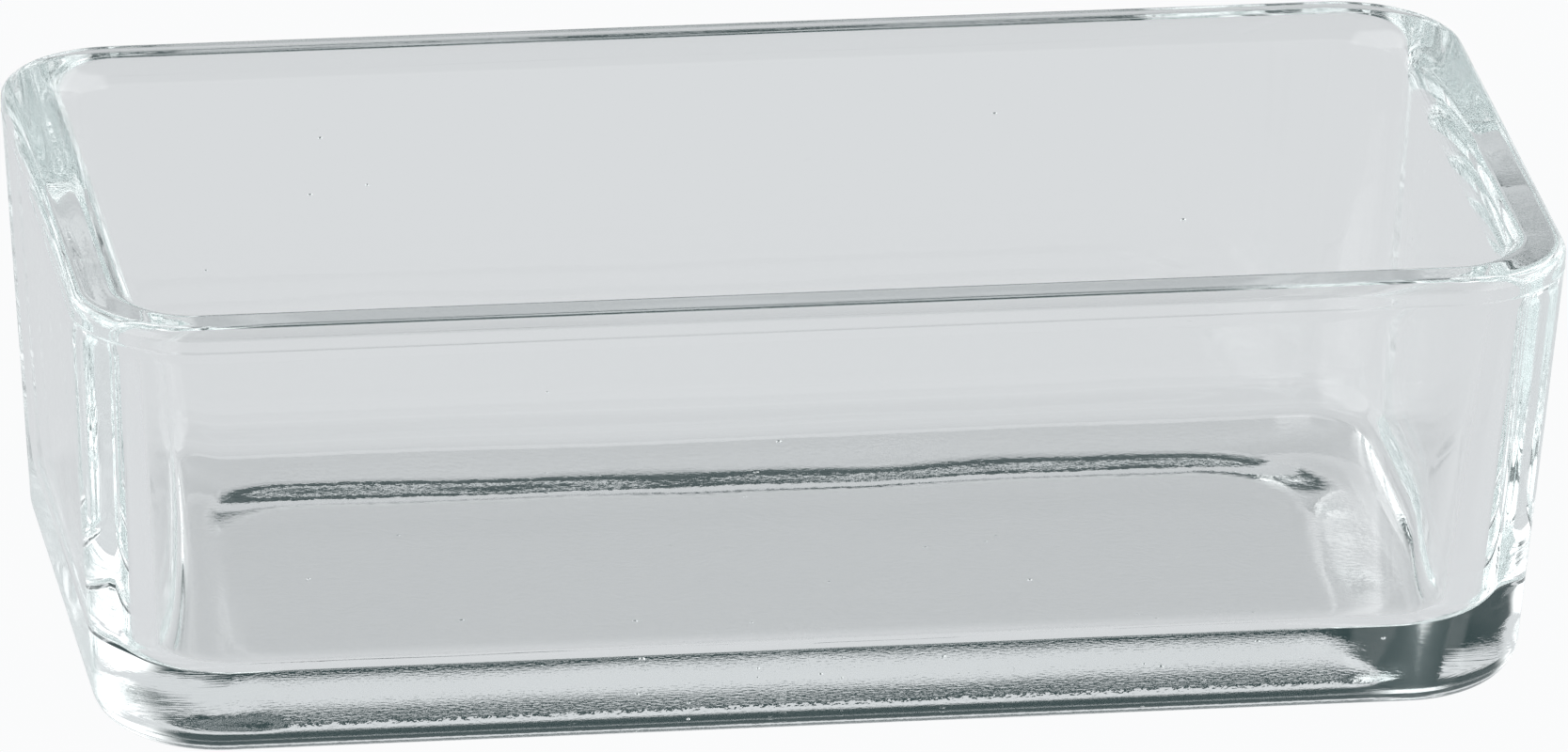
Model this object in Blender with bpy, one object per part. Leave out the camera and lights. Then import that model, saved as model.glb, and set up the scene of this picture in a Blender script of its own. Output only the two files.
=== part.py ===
"""A rectangular dish of clear pressed glass, for growing crystals: one pressing, open at the top.

Metres, +Z up. The long sides run along X. The origin is the middle of the foot, on the surface
that the dish stands on. The dish has no lid, spout, foot ring or fastener, and nothing on it moves,
so the whole object is one solid.
"""

import math

import bmesh
import bpy

# Driving dimensions
LENGTH = 0.1000                  # outside, across the rim
WIDTH = 0.0535                   # outside, across the rim
HEIGHT = 0.0315
WALL = 0.0044                    # thickness of a wall, the same at the rim and at the floor
FLOOR = 0.0050                   # thickness of the floor
DRAFT = math.radians(4.0)        # how far each wall leans outwards, inside and out
CORNER_RADIUS = 0.0083           # of the outside corners, seen from above
FLOOR_CORNER_RADIUS = 0.0050     # of the hollow's corners at the floor, wider than at the rim
FOOT_RADIUS = 0.0026             # where the walls turn under to the flat foot
FLOOR_FILLET = 0.0020            # where the walls run into the floor, inside
RIM_RADIUS = 0.0010              # fire-polished rounding on the outer edge of the rim
RIM_INNER_RADIUS = 0.0018        # and on its inner edge

# How finely the round stretches are divided
CORNER_SEGMENTS = 12
FILLET_SEGMENTS = 6
RIM_SEGMENTS = 4

GLASS_COLOUR = (0.93, 0.97, 0.96, 1.0)
GLASS_ROUGHNESS = 0.03
GLASS_IOR = 1.52

SAME_HEIGHT = 1e-6               # two points this close in height lie in one level plane
LEVEL_NORMAL = 0.99              # a face whose normal is this near to vertical is level
SHARP_ANGLE = math.radians(30.0)


def clear_scene():
    for item in list(bpy.data.objects):
        bpy.data.objects.remove(item, do_unlink=True)


def new_collection(name):
    collection = bpy.data.collections.new(name)
    bpy.context.scene.collection.children.link(collection)
    return collection


def clear_glass():
    material = bpy.data.materials.new("clear_glass")
    material.use_nodes = True
    shader = material.node_tree.nodes["Principled BSDF"]
    shader.inputs["Base Color"].default_value = GLASS_COLOUR
    shader.inputs["Metallic"].default_value = 0.0
    shader.inputs["Roughness"].default_value = GLASS_ROUGHNESS
    shader.inputs["IOR"].default_value = GLASS_IOR
    shader.inputs["Transmission Weight"].default_value = 1.0
    return material


def draw_in(verts, distance):
    """Moves each corner of an outline towards the middle, so its sides move in and its radii stay."""
    for vert in verts:
        vert.co.x -= math.copysign(distance, vert.co.x)
        vert.co.y -= math.copysign(distance, vert.co.y)


def level_face(mesh, height):
    return next(
        face for face in mesh.faces
        if abs(face.normal.z) > LEVEL_NORMAL and abs(face.calc_center_median().z - height) < SAME_HEIGHT
    )


def edges_round(mesh, height):
    """The edges in one level plane where a level face meets a wall."""
    mesh.normal_update()
    return [
        edge for edge in mesh.edges
        if all(abs(vert.co.z - height) < SAME_HEIGHT for vert in edge.verts)
        and sum(abs(face.normal.z) > LEVEL_NORMAL for face in edge.link_faces) == 1
    ]


def beside_hollow(edge):
    """True on the inner edge of the rim, where the wall faces the middle, and false on its outer edge."""
    wall = min(edge.link_faces, key=lambda face: abs(face.normal.z))
    return wall.normal.xy.dot(wall.calc_center_median().xy) < 0.0


def round_off(mesh, edges, radius, segments):
    bmesh.ops.bevel(
        mesh, geom=edges, offset=radius, offset_type="OFFSET", segments=segments,
        profile=0.5, affect="EDGES",
    )


def drafted_block():
    """The solid outside shape: rim size at the top, narrower at the foot, with round upright corners."""
    mesh = bmesh.new()
    bmesh.ops.create_cube(mesh, size=1.0)
    bmesh.ops.scale(mesh, vec=(LENGTH, WIDTH, HEIGHT), verts=mesh.verts)
    bmesh.ops.translate(mesh, vec=(0.0, 0.0, HEIGHT / 2), verts=mesh.verts)
    upright = [edge for edge in mesh.edges if edge.verts[0].co.z != edge.verts[1].co.z]
    round_off(mesh, upright, CORNER_RADIUS, CORNER_SEGMENTS)
    foot = [vert for vert in mesh.verts if vert.co.z < HEIGHT / 2]
    draw_in(foot, HEIGHT * math.tan(DRAFT))
    return mesh


def widen_corners(verts):
    """Swells the corners of the hollow from the rim's inner radius to the floor's, with its sides kept in place."""
    radius = CORNER_RADIUS - WALL
    for vert in verts:
        for axis, half in ((0, LENGTH / 2 - WALL), (1, WIDTH / 2 - WALL)):
            past_centre = abs(vert.co[axis]) - (half - radius)
            place = half - FLOOR_CORNER_RADIUS * (1.0 - past_centre / radius)
            vert.co[axis] = math.copysign(place, vert.co[axis])


def press_hollow(mesh):
    """Presses the top in by the depth of the dish, leaving walls and a floor of even thickness."""
    depth = HEIGHT - FLOOR
    mesh.normal_update()
    top = level_face(mesh, HEIGHT)
    bmesh.ops.inset_region(mesh, faces=[top], thickness=WALL, use_even_offset=True)
    floor = bmesh.ops.extrude_discrete_faces(mesh, faces=[top])["faces"][0]
    bmesh.ops.translate(mesh, vec=(0.0, 0.0, -depth), verts=floor.verts)
    widen_corners(floor.verts)
    draw_in(floor.verts, depth * math.tan(DRAFT))


def glass_dish(collection):
    mesh = drafted_block()
    press_hollow(mesh)
    rim = edges_round(mesh, HEIGHT)
    round_off(mesh, [edge for edge in rim if not beside_hollow(edge)], RIM_RADIUS, RIM_SEGMENTS)
    rim = edges_round(mesh, HEIGHT)
    round_off(mesh, [edge for edge in rim if beside_hollow(edge)], RIM_INNER_RADIUS, RIM_SEGMENTS)
    round_off(mesh, edges_round(mesh, FLOOR), FLOOR_FILLET, FILLET_SEGMENTS)
    round_off(mesh, edges_round(mesh, 0.0), FOOT_RADIUS, FILLET_SEGMENTS)
    bmesh.ops.recalc_face_normals(mesh, faces=mesh.faces)
    data = bpy.data.meshes.new("glass_dish")
    mesh.to_mesh(data)
    mesh.free()
    data.materials.append(clear_glass())
    data.shade_smooth()
    data.set_sharp_from_angle(angle=SHARP_ANGLE)
    dish = bpy.data.objects.new("glass_dish", data)
    collection.objects.link(dish)
    return dish


clear_scene()
glass_dish(new_collection("crystallizing_dish"))
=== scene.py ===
"""The looks of a rectangular dish of clear pressed glass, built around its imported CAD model."""

import math
import random

import bmesh
import bpy
from mathutils import Matrix, Vector, noise


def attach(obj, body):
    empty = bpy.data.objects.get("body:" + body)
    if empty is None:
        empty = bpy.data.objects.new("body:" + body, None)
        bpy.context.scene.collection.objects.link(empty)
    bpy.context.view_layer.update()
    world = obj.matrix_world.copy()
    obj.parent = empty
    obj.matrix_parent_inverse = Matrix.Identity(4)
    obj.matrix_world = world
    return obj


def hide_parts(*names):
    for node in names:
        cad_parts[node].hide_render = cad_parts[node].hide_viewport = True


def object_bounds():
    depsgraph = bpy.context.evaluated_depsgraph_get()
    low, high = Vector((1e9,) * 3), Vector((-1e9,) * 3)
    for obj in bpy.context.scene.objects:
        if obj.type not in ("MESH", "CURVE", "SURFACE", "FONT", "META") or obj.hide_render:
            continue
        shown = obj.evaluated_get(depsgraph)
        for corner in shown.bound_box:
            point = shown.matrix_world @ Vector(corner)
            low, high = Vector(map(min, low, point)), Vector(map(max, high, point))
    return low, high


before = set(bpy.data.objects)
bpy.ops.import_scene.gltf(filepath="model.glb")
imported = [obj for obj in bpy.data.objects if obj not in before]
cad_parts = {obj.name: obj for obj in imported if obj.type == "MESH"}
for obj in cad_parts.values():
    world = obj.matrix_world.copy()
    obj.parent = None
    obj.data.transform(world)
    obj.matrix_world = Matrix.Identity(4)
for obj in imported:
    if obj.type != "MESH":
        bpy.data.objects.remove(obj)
cad_low, cad_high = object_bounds()

# The dish, in metres. The outside sizes come from the frame, and the rest repeat the CAD model's.
WALL = 0.0044
FLOOR = 0.0050
DRAFT = math.tan(math.radians(4.0))
CORNER_RADIUS = 0.0083
FLOOR_CORNER_RADIUS = 0.0050
FOOT_RADIUS = 0.0026
FLOOR_FILLET = 0.0020
RIM_RADIUS = 0.0010
RIM_INNER_RADIUS = 0.0018
LENGTH = cad_high.x - cad_low.x + 2 * RIM_RADIUS * DRAFT
WIDTH = cad_high.y - cad_low.y + 2 * RIM_RADIUS * DRAFT
HEIGHT = cad_high.z - cad_low.z

# The underside is hollowed slightly, inside a flat ring that the dish stands on
HOLLOW_DEPTH = 0.00045
HOLLOW_START = 0.0092            # inside the rim's outer edge
HOLLOW_SLOPE = 0.0055            # how far in it reaches its full depth
HOLLOW_CORNER = 0.0050
HOLLOW_STEPS = 14
HOLLOW_WANDER = 0.0009           # how far its edge strays from straight
HOLLOW_FRONT = 0.0217            # at the front it starts this far from the middle, close behind the foot,
HOLLOW_FRONT_SLOPE = 0.0016      # and deepens within this distance

# The mould leaves a fine ridge all round, just under the rim
SEAM_DROP = 0.0007
SEAM_HEIGHT = 0.00004
SEAM_HALF_WIDTH = 0.00009
SEAM_PROFILE = ((-0.5, 0.7), (0.0, 1.0), (0.5, 0.7), (1.0, 0.0))    # (how far up the ridge, how far out)

# Unevenness of the pressed surfaces: how high it is, how large its grain is, and its place in the noise
HOLLOW_EDGE_SIZE, HOLLOW_EDGE_SEED = 0.006, 11.0
WAVE_INSIDE, WAVE_INSIDE_SIZE, WAVE_INSIDE_SEED = 0.000018, 0.011, 5.0
WAVE_OUTSIDE, WAVE_OUTSIDE_SIZE, WAVE_OUTSIDE_SEED = 0.000007, 0.009, 17.0
WAVE_FLOOR, WAVE_FLOOR_SIZE, WAVE_FLOOR_SEED = 0.000020, 0.008, 23.0
FLOW_ALONG, FLOW_ACROSS = 2.5, 1.6           # how far the grain is drawn out along X and Y
FINER, FINER_SHARE = 2.3, 0.4                # a second, finer grain, and its share of the height
WAVE_CREST = 1.0 + FINER_SHARE               # no wave is higher, and the outside is drawn in by this

# Facets: along the straight sides, and in half a corner
LONG_STEPS = 120
SHORT_STEPS = 56
HALF_CORNER_STEPS = 12
WALL_STEPS = 34
LIP_STEPS = 4
FOOT_STEPS = 14
FILLET_STEPS = 14
RIM_STEPS = 12
RIM_TOP_STEPS = 6

# Bubbles in the glass, by radius, and how far from the middle they lie
SEED_COUNT = 46
SEED_IN_FLOOR = 0.4              # the share of them in the floor,
SEED_IN_LONG_WALLS = 0.7         # and of the rest, the share in the long walls
SEED_DEPTHS = (0.3, 0.7)         # how deep in a wall, in shares of its thickness
SEED_SMALLEST = 0.00005
SEED_LARGEST = 0.00014
SEED_HALF_LENGTH = 0.040
SEED_FLOOR_HALF_LENGTH = 0.042
SEED_HALF_WIDTH = 0.018
SEED_MARGIN = 0.0015             # of clear glass above the foot and under the rim
SEED_FLOOR_HEIGHTS = (0.001, 0.004)
SEED_LONGEST, SEED_FLATTEST = 2.2, 0.7       # how far they are drawn out and flattened
SEED_TURN = 0.4

# The glass
GLASS_IOR = 1.52
TINT = (0.30, 0.62, 0.60, 1.0)
TINT_DENSITY = 1.3
DULLEST = 0.022                  # roughness where the polish is poorest
BLOOM_SCALE = 90.0               # patches of poorer polish, in grains to the metre
BLOOM_NONE, BLOOM_FULL = 0.45, 0.75          # noise values where the polish is best and poorest
SKIN_SCALE, SKIN_STRENGTH, SKIN_DEPTH = 420.0, 0.03, 0.00006
PEBBLE_SCALE, PEBBLE_DEPTH = 2200.0, 0.000009
PEBBLE_HEIGHTS = (-1.0, -0.5, 0.0008, 0.0016)    # only the underside is pebbled, and it fades out upwards

# The table is one even tone: near-white to the camera, and light grey where the glass shows it
PAPER = (0.96, 0.965, 0.97, 1.0)
TABLE = (0.690, 0.710, 0.725, 1.0)
TABLE_HALF_SIZE = 2.0
TABLE_GAP = 0.0002               # how far below the foot it lies, so that the two faces don't fight

# Soft boxes by direction: (axis, edges along that axis, edges upwards, strength). The edges of a box are
# where its light starts, where it is full, where it stops being full and where it ends.
SOFT_BOXES = (
    ("X", (0.32, 0.60, 1.2, 1.4), (-0.10, -0.02, 0.72, 0.86), 1.6),
    ("X", (-1.4, -1.2, -0.60, -0.34), (-0.10, -0.02, 0.72, 0.86), 1.6),
    ("Y", (-1.4, -1.2, -0.85, -0.60), (-0.10, -0.02, 0.16, 0.34), 0.75),
)
DARK_ROOM = (0.012, 0.038, 0.040)
BOUNCES = 48                     # light goes to and fro many times inside the walls

# The camera looks down the short side with a very long lens
CAMERA_AZIMUTH = math.radians(-9.262)
CAMERA_ELEVATION = math.radians(21.692)
CAMERA_ROLL = math.radians(1.197)
CAMERA_DISTANCE = 1.4482
CAMERA_AIM = Vector((0.001587, 0.005325, 0.013853))
CAMERA_LENS = 494.3


def spaced(start, end, steps):
    """Values from just past start to end, evenly spaced."""
    return [start + (end - start) * (i + 1) / steps for i in range(steps)]


def quarter_turn(steps):
    """(sine, one minus cosine) through a right angle, not counting its start."""
    return [(math.sin(a), 1.0 - math.cos(a)) for a in spaced(0.0, math.pi / 2, steps)]


def leaning(inset, height):
    """How far inside the rim's outer edge a point of the outside or inside lies, with the draft added."""
    return inset + (HEIGHT - height) * DRAFT


def hollow_radius(height):
    """Corner radius of the inside, seen from above: it grows from the rim to the floor."""
    depth = (HEIGHT - height) / (HEIGHT - FLOOR)
    return (CORNER_RADIUS - WALL) * (1.0 - depth) + FLOOR_CORNER_RADIUS * depth


def section():
    """The section through a wall, from the middle of the underside up the outside and down to the floor.

    Each point is (distance inside the rim's outer edge, height, corner radius seen from above, zone)."""
    points = []
    for i in range(HOLLOW_STEPS + 1):
        out = i / HOLLOW_STEPS
        inset = HOLLOW_START + HOLLOW_SLOPE * (1.0 - out)
        height = HOLLOW_DEPTH * (1.0 + math.cos(math.pi * out)) / 2
        points.append((inset, height, HOLLOW_CORNER + HOLLOW_SLOPE * out, "hollow"))
    points.append((leaning(FOOT_RADIUS, 0.0), 0.0, CORNER_RADIUS - FOOT_RADIUS, "outside"))
    for out, up in quarter_turn(FOOT_STEPS):
        inset = FOOT_RADIUS * (1.0 - out)
        height = FOOT_RADIUS * up
        points.append((leaning(inset, height), height, CORNER_RADIUS - inset, "outside"))
    seam = HEIGHT - RIM_RADIUS - SEAM_DROP
    for height in spaced(FOOT_RADIUS, seam - SEAM_HALF_WIDTH, WALL_STEPS):
        points.append((leaning(0.0, height), height, CORNER_RADIUS, "outside"))
    for step, rise in SEAM_PROFILE:
        height = seam + SEAM_HALF_WIDTH * step
        points.append((leaning(-SEAM_HEIGHT * rise, height), height, CORNER_RADIUS, "outside"))
    for height in spaced(seam + SEAM_HALF_WIDTH, HEIGHT - RIM_RADIUS, LIP_STEPS):
        points.append((leaning(0.0, height), height, CORNER_RADIUS, "outside"))
    for up, across in quarter_turn(RIM_STEPS):
        height = HEIGHT - RIM_RADIUS * (1.0 - up)
        inset = RIM_RADIUS * across
        points.append((leaning(inset, height), height, CORNER_RADIUS - inset, "rim"))
    for inset in spaced(RIM_RADIUS, WALL - RIM_INNER_RADIUS, RIM_TOP_STEPS):
        points.append((inset, HEIGHT, CORNER_RADIUS - inset, "rim"))
    for across, down in quarter_turn(RIM_STEPS):
        inset = WALL - RIM_INNER_RADIUS * (1.0 - across)
        height = HEIGHT - RIM_INNER_RADIUS * down
        points.append((leaning(inset, height), height, hollow_radius(height) + WALL - inset, "inside"))
    for height in spaced(HEIGHT - RIM_INNER_RADIUS, FLOOR + FLOOR_FILLET, WALL_STEPS):
        points.append((leaning(WALL, height), height, hollow_radius(height), "inside"))
    for down, across in quarter_turn(FILLET_STEPS):
        height = FLOOR + FLOOR_FILLET * (1.0 - down)
        inset = FLOOR_FILLET * across
        points.append((leaning(WALL + inset, height), height, hollow_radius(height) - inset, "inside"))
    return points


def outline(inset, height, radius):
    """A rounded rectangle, anticlockwise from the middle of its right-hand front corner.

    Each point comes with its outward direction."""
    half_x = LENGTH / 2 - inset
    half_y = WIDTH / 2 - inset
    sides = ((1, -1, SHORT_STEPS), (1, 1, LONG_STEPS), (-1, 1, SHORT_STEPS), (-1, -1, LONG_STEPS))
    points = []
    for quarter, (sign_x, sign_y, steps) in enumerate(sides):
        next_x, next_y, _ = sides[(quarter + 1) % 4]
        start = Vector((sign_x * (half_x - radius), sign_y * (half_y - radius), height))
        end = Vector((next_x * (half_x - radius), next_y * (half_y - radius), height))
        facing = quarter * math.pi / 2
        for i in range(HALF_CORNER_STEPS):
            turn = facing - math.pi / 4 * (1.0 - i / HALF_CORNER_STEPS)
            out = Vector((math.cos(turn), math.sin(turn), 0.0))
            points.append((start + out * radius, out))
        out = Vector((math.cos(facing), math.sin(facing), 0.0))
        for i in range(steps):
            points.append((start.lerp(end, i / steps) + out * radius, out))
        for i in range(HALF_CORNER_STEPS):
            turn = facing + math.pi / 4 * i / HALF_CORNER_STEPS
            out = Vector((math.cos(turn), math.sin(turn), 0.0))
            points.append((end + out * radius, out))
    return points


def wave(place, size, seed):
    """Smooth unevenness, mostly between -1 and 1, drawn out along the length as the glass flowed."""
    stretched = Vector((place.x / (FLOW_ALONG * size), place.y / (FLOW_ACROSS * size), place.z / size + seed))
    return noise.noise(stretched) + FINER_SHARE * noise.noise(stretched * FINER)


def towards_front(y, inset):
    """The hollow's front half reaches nearer to the foot than its back half."""
    if y > 0.0:
        return y
    out = (HOLLOW_START + HOLLOW_SLOPE - inset) / HOLLOW_SLOPE
    front = HOLLOW_FRONT - HOLLOW_FRONT_SLOPE * (1.0 - out)
    return y * front / (WIDTH / 2 - inset)


def ring(inset, height, radius, zone):
    """The points of one outline, moved by the unevenness of its zone."""
    points = []
    for place, out in outline(inset, height, radius):
        if zone == "hollow":
            place = place + out * HOLLOW_WANDER * wave(place, HOLLOW_EDGE_SIZE, HOLLOW_EDGE_SEED)
            place.y = towards_front(place.y, inset)
        if zone == "inside":
            place = place + out * WAVE_INSIDE * wave(place, WAVE_INSIDE_SIZE, WAVE_INSIDE_SEED)
        if zone == "outside":
            swell = wave(place, WAVE_OUTSIDE_SIZE, WAVE_OUTSIDE_SEED) - WAVE_CREST
            place = place + out * (WAVE_OUTSIDE * swell)
        points.append(place)
    return points


def loft(mesh, rings):
    """Joins rings of points with a skin, and returns the rings of vertices."""
    loops = [[mesh.verts.new(point) for point in points] for points in rings]
    count = len(loops[0])
    for lower, upper in zip(loops, loops[1:]):
        for i in range(count):
            j = (i + 1) % count
            mesh.faces.new((lower[i], lower[j], upper[j], upper[i]))
    return loops


def cap(mesh, loop, facing_up):
    """Closes a ring with a grid of faces that runs from side to side."""
    across = SHORT_STEPS + 2 * HALF_CORNER_STEPS
    along = LONG_STEPS + 2 * HALF_CORNER_STEPS
    right = loop[:across + 1]
    back = loop[across:across + along + 1]
    left = loop[across + along:2 * across + along + 1]
    front = loop[2 * across + along:] + loop[:1]
    grid = []
    for j in range(across + 1):
        end, start = right[j], left[across - j]
        row = [start]
        for i in range(1, along):
            if j == 0:
                row.append(front[i])
                continue
            if j == across:
                row.append(back[along - i])
                continue
            u, v = i / along, j / across
            near, far = front[i].co, back[along - i].co
            edges = near.lerp(far, v) + start.co.lerp(end.co, u)
            corners = front[0].co.lerp(front[-1].co, u).lerp(back[-1].co.lerp(back[0].co, u), v)
            place = edges - corners
            swell = 16.0 * u * (1.0 - u) * v * (1.0 - v)
            place.z += min(swell, 1.0) * WAVE_FLOOR * wave(place, WAVE_FLOOR_SIZE, WAVE_FLOOR_SEED)
            row.append(mesh.verts.new(place))
        row.append(end)
        grid.append(row)
    for lower, upper in zip(grid, grid[1:]):
        for i in range(along):
            corners = (lower[i], lower[i + 1], upper[i + 1], upper[i])
            mesh.faces.new(corners if facing_up else corners[::-1])


def seeds(mesh):
    """Small bubbles held in the walls and the floor: closed hollows, facing inwards."""
    chance = random.Random(7)
    for _ in range(SEED_COUNT):
        size = chance.uniform(SEED_SMALLEST, SEED_LARGEST)
        depth = chance.uniform(*SEED_DEPTHS) * WALL
        height = chance.uniform(SEED_MARGIN, HEIGHT - SEED_MARGIN)
        if chance.random() < SEED_IN_FLOOR:
            along = chance.uniform(-SEED_FLOOR_HALF_LENGTH, SEED_FLOOR_HALF_LENGTH)
            across = chance.uniform(-SEED_HALF_WIDTH, SEED_HALF_WIDTH)
            place = Vector((along, across, chance.uniform(*SEED_FLOOR_HEIGHTS)))
        elif chance.random() < SEED_IN_LONG_WALLS:
            side = chance.choice((-1, 1))
            along = chance.uniform(-SEED_HALF_LENGTH, SEED_HALF_LENGTH)
            place = Vector((along, side * (WIDTH / 2 - leaning(depth, height)), height))
        else:
            side = chance.choice((-1, 1))
            across = chance.uniform(-SEED_HALF_WIDTH, SEED_HALF_WIDTH)
            place = Vector((side * (LENGTH / 2 - leaning(depth, height)), across, height))
        longer = chance.uniform(1.0, SEED_LONGEST)
        lower = chance.uniform(SEED_FLATTEST, 1.0)
        stretch = Matrix.Diagonal((longer, 1.0, lower, 1.0))
        turn = Matrix.Rotation(chance.uniform(-SEED_TURN, SEED_TURN), 4, "Z")
        made = bmesh.ops.create_icosphere(
            mesh, subdivisions=2, radius=size, matrix=Matrix.Translation(place) @ turn @ stretch,
        )
        faces = {face for vert in made["verts"] for face in vert.link_faces}
        bmesh.ops.reverse_faces(mesh, faces=list(faces))


def product(tree, first, second):
    both = tree.nodes.new("ShaderNodeMath")
    both.operation = "MULTIPLY"
    tree.links.new(first, both.inputs[0])
    tree.links.new(second, both.inputs[1])
    return both.outputs["Value"]


def window(tree, value, start, full, end, none):
    """One where value lies between full and end, falling smoothly to nothing at start and at none."""
    nodes, links = tree.nodes, tree.links
    rise = nodes.new("ShaderNodeMapRange")
    fall = nodes.new("ShaderNodeMapRange")
    for step, low, high in ((rise, start, full), (fall, none, end)):
        step.interpolation_type = "SMOOTHSTEP"
        step.inputs["From Min"].default_value = low
        step.inputs["From Max"].default_value = high
        links.new(value, step.inputs["Value"])
    return product(tree, rise.outputs["Result"], fall.outputs["Result"])


def clear_glass():
    material = bpy.data.materials.new("clear_pressed_glass")
    material.use_nodes = True
    nodes, links = material.node_tree.nodes, material.node_tree.links
    shader = nodes["Principled BSDF"]
    shader.inputs["Base Color"].default_value = (1.0, 1.0, 1.0, 1.0)
    shader.inputs["IOR"].default_value = GLASS_IOR
    shader.inputs["Transmission Weight"].default_value = 1.0
    place = nodes.new("ShaderNodeTexCoord")
    bloom = nodes.new("ShaderNodeTexNoise")
    bloom.inputs["Scale"].default_value = BLOOM_SCALE
    bloom.inputs["Detail"].default_value = 5.0
    bloom.inputs["Roughness"].default_value = 0.65
    links.new(place.outputs["Object"], bloom.inputs["Vector"])
    polish = nodes.new("ShaderNodeMapRange")
    polish.inputs["From Min"].default_value = BLOOM_NONE
    polish.inputs["From Max"].default_value = BLOOM_FULL
    polish.inputs["To Min"].default_value = 0.0
    polish.inputs["To Max"].default_value = DULLEST
    links.new(bloom.outputs["Fac"], polish.inputs["Value"])
    links.new(polish.outputs["Result"], shader.inputs["Roughness"])
    skin = nodes.new("ShaderNodeTexNoise")
    skin.inputs["Scale"].default_value = SKIN_SCALE
    skin.inputs["Detail"].default_value = 3.0
    links.new(place.outputs["Object"], skin.inputs["Vector"])
    bump = nodes.new("ShaderNodeBump")
    bump.inputs["Strength"].default_value = SKIN_STRENGTH
    bump.inputs["Distance"].default_value = SKIN_DEPTH
    links.new(skin.outputs["Fac"], bump.inputs["Height"])
    peel = nodes.new("ShaderNodeTexNoise")
    peel.inputs["Scale"].default_value = PEBBLE_SCALE
    peel.inputs["Detail"].default_value = 2.0
    links.new(place.outputs["Object"], peel.inputs["Vector"])
    axes = nodes.new("ShaderNodeSeparateXYZ")
    links.new(place.outputs["Object"], axes.inputs["Vector"])
    pebbled = nodes.new("ShaderNodeBump")
    pebbled.inputs["Distance"].default_value = PEBBLE_DEPTH
    beneath = window(material.node_tree, axes.outputs["Z"], *PEBBLE_HEIGHTS)
    links.new(beneath, pebbled.inputs["Strength"])
    links.new(peel.outputs["Fac"], pebbled.inputs["Height"])
    links.new(bump.outputs["Normal"], pebbled.inputs["Normal"])
    links.new(pebbled.outputs["Normal"], shader.inputs["Normal"])
    absorb = nodes.new("ShaderNodeVolumeAbsorption")
    absorb.inputs["Color"].default_value = TINT
    absorb.inputs["Density"].default_value = TINT_DENSITY
    links.new(absorb.outputs["Volume"], nodes["Material Output"].inputs["Volume"])
    return material


def dish():
    mesh = bmesh.new()
    loops = loft(mesh, [ring(*point) for point in section()])
    cap(mesh, loops[0], facing_up=False)
    cap(mesh, loops[-1], facing_up=True)
    bmesh.ops.recalc_face_normals(mesh, faces=mesh.faces)
    seeds(mesh)
    data = bpy.data.meshes.new("pressed_glass")
    mesh.to_mesh(data)
    mesh.free()
    data.shade_smooth()
    data.materials.append(clear_glass())
    piece = bpy.data.objects.new("pressed_glass", data)
    bpy.context.scene.collection.objects.link(piece)
    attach(piece, "root")
    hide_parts("glass_dish")
    return piece


def floor():
    """A plain pale table, the same all over: it gives off its own tone and takes no shadow."""
    mesh = bmesh.new()
    bmesh.ops.create_grid(mesh, x_segments=1, y_segments=1, size=TABLE_HALF_SIZE)
    data = bpy.data.meshes.new("floor")
    mesh.to_mesh(data)
    mesh.free()
    material = bpy.data.materials.new("pale_floor")
    material.use_nodes = True
    nodes, links = material.node_tree.nodes, material.node_tree.links
    nodes.remove(nodes["Principled BSDF"])
    path = nodes.new("ShaderNodeLightPath")
    plain = nodes.new("ShaderNodeEmission")
    plain.inputs["Color"].default_value = PAPER
    seen = nodes.new("ShaderNodeEmission")
    seen.inputs["Color"].default_value = TABLE
    mix = nodes.new("ShaderNodeMixShader")
    links.new(path.outputs["Is Camera Ray"], mix.inputs["Fac"])
    links.new(seen.outputs["Emission"], mix.inputs[1])
    links.new(plain.outputs["Emission"], mix.inputs[2])
    links.new(mix.outputs["Shader"], nodes["Material Output"].inputs["Surface"])
    data.materials.append(material)
    ground = bpy.data.objects.new("floor", data)
    ground.location.z = -TABLE_GAP
    bpy.context.scene.collection.objects.link(ground)


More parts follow.
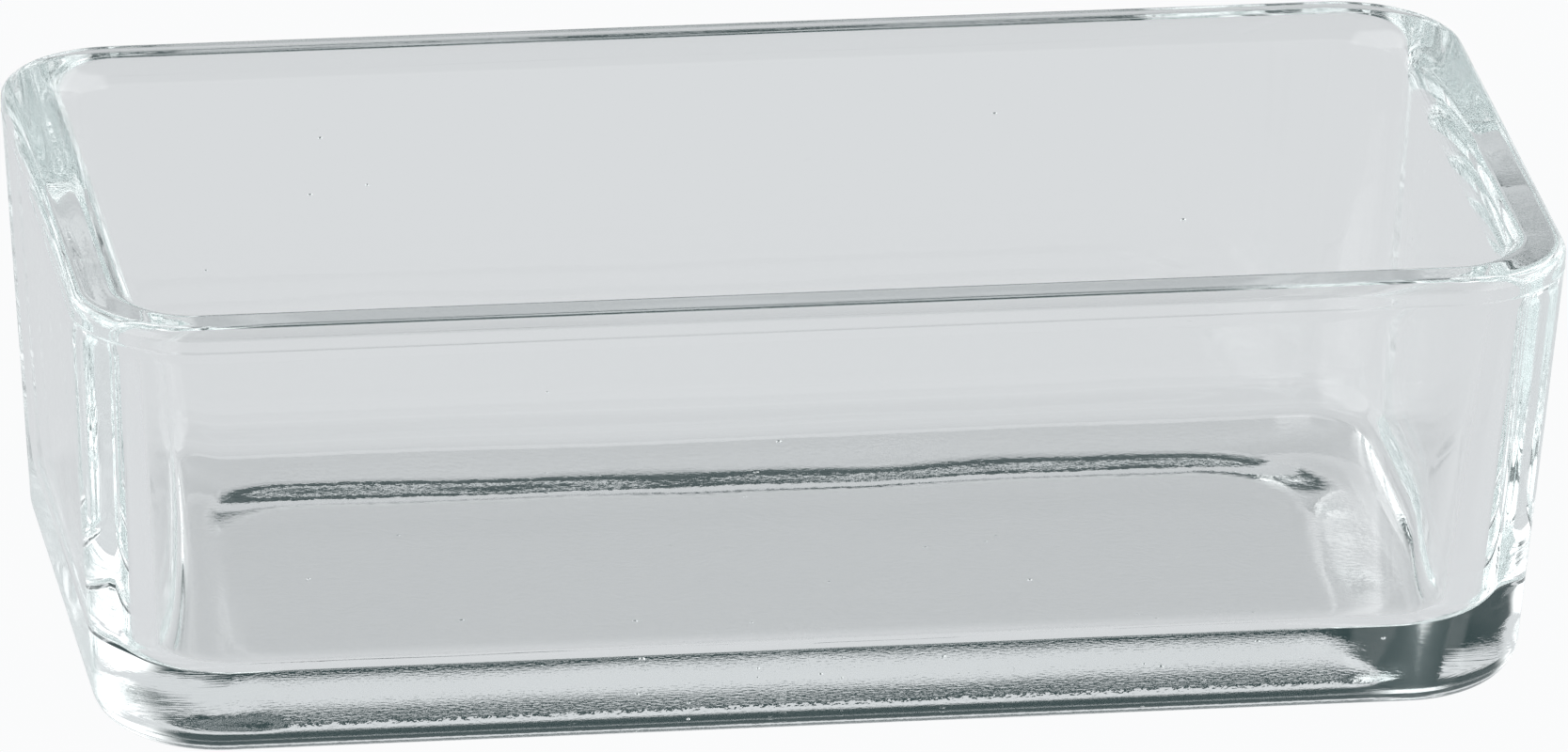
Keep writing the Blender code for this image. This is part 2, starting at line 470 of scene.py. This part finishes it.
def studio():
    """A soft box on each side and a low one in front, in a dark room. The camera sees plain paper instead."""
    world = bpy.data.worlds.new("studio")
    bpy.context.scene.world = world
    world.use_nodes = True
    tree = world.node_tree
    nodes, links = tree.nodes, tree.links
    place = nodes.new("ShaderNodeTexCoord")
    axes = nodes.new("ShaderNodeSeparateXYZ")
    links.new(place.outputs["Generated"], axes.inputs["Vector"])
    total = None
    for side, across, upward, strength in SOFT_BOXES:
        box = product(
            tree,
            window(tree, axes.outputs[side], *across),
            window(tree, axes.outputs["Z"], *upward),
        )
        lit = nodes.new("ShaderNodeMath")
        lit.operation = "MULTIPLY_ADD"
        lit.inputs[1].default_value = strength
        lit.inputs[2].default_value = 0.0
        links.new(box, lit.inputs[0])
        if total:
            links.new(total, lit.inputs[2])
        total = lit.outputs["Value"]
    room = nodes.new("ShaderNodeVectorMath")
    room.inputs[1].default_value = DARK_ROOM
    links.new(total, room.inputs[0])
    shade = nodes["Background"]
    links.new(room.outputs["Vector"], shade.inputs["Color"])
    plain = nodes.new("ShaderNodeBackground")
    plain.inputs["Color"].default_value = PAPER
    path = nodes.new("ShaderNodeLightPath")
    mix = nodes.new("ShaderNodeMixShader")
    links.new(path.outputs["Is Camera Ray"], mix.inputs["Fac"])
    links.new(shade.outputs["Background"], mix.inputs[1])
    links.new(plain.outputs["Background"], mix.inputs[2])
    links.new(mix.outputs["Shader"], nodes["World Output"].inputs["Surface"])
    view = bpy.context.scene.view_settings
    view.view_transform = "Standard"
    cycles = bpy.context.scene.cycles
    cycles.max_bounces = BOUNCES
    cycles.glossy_bounces = BOUNCES
    cycles.transmission_bounces = BOUNCES


def camera():
    data = bpy.data.cameras.new("camera")
    data.lens = CAMERA_LENS
    data.sensor_width = 36.0
    data.clip_start, data.clip_end = 0.1, 20.0
    eye = bpy.data.objects.new("camera", data)
    back = Vector((
        math.sin(CAMERA_AZIMUTH) * math.cos(CAMERA_ELEVATION),
        -math.cos(CAMERA_AZIMUTH) * math.cos(CAMERA_ELEVATION),
        math.sin(CAMERA_ELEVATION),
    ))
    level = (-back).to_track_quat("-Z", "Y").to_matrix().to_4x4()
    place = Matrix.Translation(CAMERA_AIM + back * CAMERA_DISTANCE)
    eye.matrix_world = place @ level @ Matrix.Rotation(CAMERA_ROLL, 4, "Z")
    bpy.context.scene.collection.objects.link(eye)
    bpy.context.scene.camera = eye


camera()
dish()
floor()
studio()
